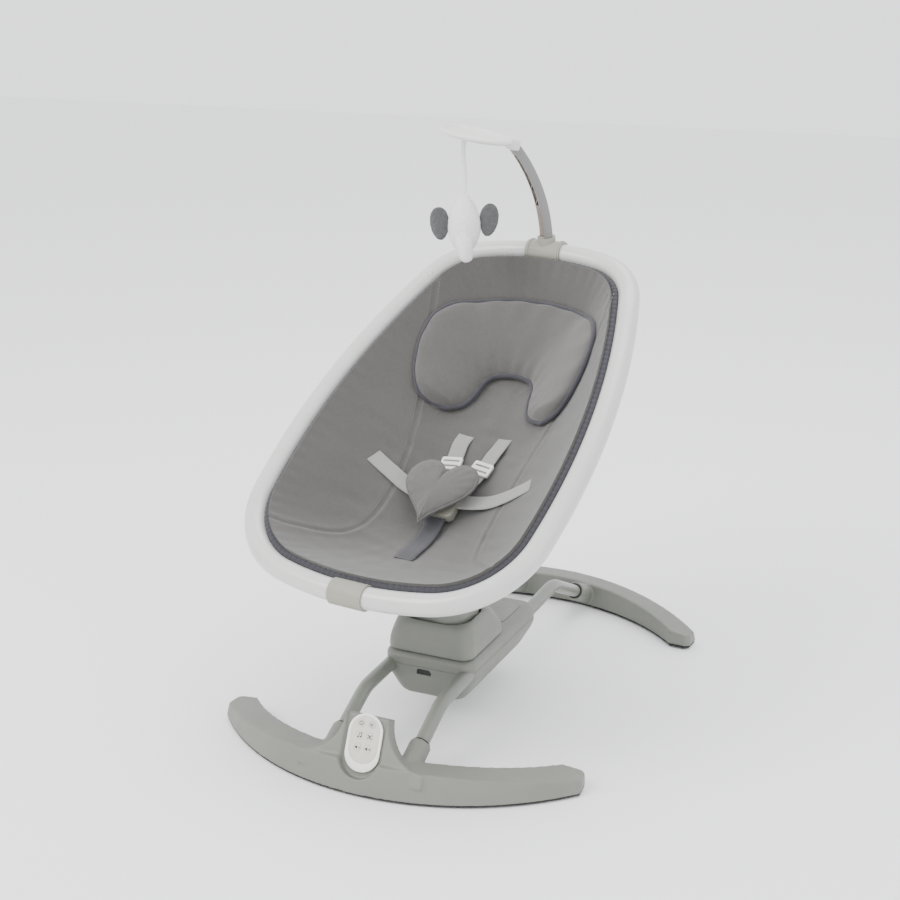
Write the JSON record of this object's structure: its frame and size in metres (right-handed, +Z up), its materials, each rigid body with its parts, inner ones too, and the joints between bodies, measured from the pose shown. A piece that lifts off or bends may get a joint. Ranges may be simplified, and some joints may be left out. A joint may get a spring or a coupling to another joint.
{
  "type": "baby swing",
  "caption": "Electric baby swing with two crescent feet, a tube-framed bucket seat that sways on an upright post, a harness and a hanging toy on a curved bar.",
  "frame": {"origin": "centre of the footprint on the floor", "axes": "+Z up, -Y towards the front foot with the control panel, +X to the viewer's right when facing the panel"},
  "size_m": [0.5394, 0.7559, 0.8104],
  "materials": {
    "sage_plastic": "matte",
    "dark_rubber": "matte",
    "pad_rubber": "matte",
    "painted_tube": "satin",
    "white_tube": "satin",
    "steel": "brushed",
    "copper": "satin",
    "black_plastic": "matte",
    "board": "matte",
    "cream_plastic": "satin",
    "stone_plastic": "matte",
    "white_plastic": "satin",
    "grey_fabric": "matte",
    "slate_fabric": "matte",
    "webbing": "matte",
    "dark_webbing": "matte",
    "white_plush": "matte",
    "grey_plush": "matte"
  },
  "bodies": {
    "base": {"front_foot": "sage_plastic", "rear_foot": "sage_plastic", "front_sole": "dark_rubber", "rear_sole": "dark_rubber", "floor_pads": "pad_rubber", "leg_tube_left": "painted_tube", "leg_tube_right": "painted_tube", "socket_rings": "dark_rubber", "foot_screws": "steel", "housing_lower": "sage_plastic", "housing_upper": "sage_plastic", "swing_cover": "sage_plastic", "service_lid": "sage_plastic", "power_socket": "black_plastic", "housing_screws": "steel", "bearing_lower": "steel", "bearing_upper": "steel", "drive_coil": "copper", "coil_bobbin": "black_plastic", "drive_board": "board", "speaker": "black_plastic", "panel_shell": "cream_plastic", "panel_overlay": "cream_plastic", "panel_board": "board"},
    "power_key": {"key_power": "cream_plastic"},
    "mode_key": {"key_mode": "cream_plastic"},
    "music_key": {"key_music": "cream_plastic"},
    "shuffle_key": {"key_shuffle": "cream_plastic"},
    "quieter_key": {"key_quieter": "cream_plastic"},
    "louder_key": {"key_louder": "cream_plastic"},
    "seat": {"swing_shaft": "steel", "magnet_arm": "stone_plastic", "magnet": "steel", "seat_post": "sage_plastic", "post_hub": "sage_plastic", "hub_screws": "steel", "rail_left": "steel", "rail_right": "steel", "loop_left": "white_tube", "loop_right": "white_tube", "foot_sleeve": "stone_plastic", "head_sleeve": "stone_plastic", "seat_bucket": "grey_fabric", "seat_binding": "slate_fabric", "head_pillow": "grey_fabric", "shoulder_straps": "webbing", "waist_straps": "webbing", "crotch_strap": "dark_webbing", "strap_adjusters": "white_plastic", "buckle_body": "stone_plastic", "heart_pad": "grey_fabric"},
    "release_button": {"buckle_button": "stone_plastic"},
    "toy_bar": {"toy_arm": "stone_plastic", "arm_peg": "steel", "toy_pod": "white_plastic"},
    "ribbon": {"toy_ribbon": "white_plush"},
    "elephant": {"toy_body": "white_plush", "toy_ears": "grey_plush"}
  },
  "joints": [
    {"name": "seat_sway", "type": "hinge", "parent": "base", "child": "seat", "pos_m": [0, -0.092, 0.1], "axis": [0, 0, 1], "range_deg": [-2.4, 15.6]},
    {"name": "toy_bar_turn", "type": "hinge", "parent": "seat", "child": "toy_bar", "pos_m": [0.03372, 0.19944, 0.64145], "axis": [-0.016, -0.1383, 0.9903], "range_deg": [-45, 125]},
    {"name": "ribbon_swing", "type": "hinge", "parent": "toy_bar", "child": "ribbon", "pos_m": [-0.05323, 0.09811, 0.78759], "axis": [0.9135, 0.4067, 0], "range_deg": [-30, 30]},
    {"name": "elephant_swing", "type": "hinge", "parent": "ribbon", "child": "elephant", "pos_m": [-0.05323, 0.09811, 0.71159], "axis": [-0.4067, 0.9135, 0], "range_deg": [-30, 30]},
    {"name": "press_power", "type": "slide", "parent": "base", "child": "power_key", "axis": [0, 0.91, -0.4147], "range_m": [0, 0.0004], "stiffness_N_per_m": 900},
    {"name": "press_mode", "type": "slide", "parent": "base", "child": "mode_key", "axis": [0, 0.91, -0.4147], "range_m": [0, 0.0004], "stiffness_N_per_m": 900},
    {"name": "press_music", "type": "slide", "parent": "base", "child": "music_key", "axis": [0, 0.91, -0.4147], "range_m": [0, 0.0004], "stiffness_N_per_m": 900},
    {"name": "press_shuffle", "type": "slide", "parent": "base", "child": "shuffle_key", "axis": [0, 0.91, -0.4147], "range_m": [0, 0.0004], "stiffness_N_per_m": 900},
    {"name": "press_quieter", "type": "slide", "parent": "base", "child": "quieter_key", "axis": [0, 0.91, -0.4147], "range_m": [0, 0.0004], "stiffness_N_per_m": 900},
    {"name": "press_louder", "type": "slide", "parent": "base", "child": "louder_key", "axis": [0, 0.91, -0.4147], "range_m": [0, 0.0004], "stiffness_N_per_m": 900},
    {"name": "press_release", "type": "slide", "parent": "seat", "child": "release_button", "axis": [0.0648, 0.5598, -0.8261], "range_m": [0, 0.002], "stiffness_N_per_m": 600}
  ]
}
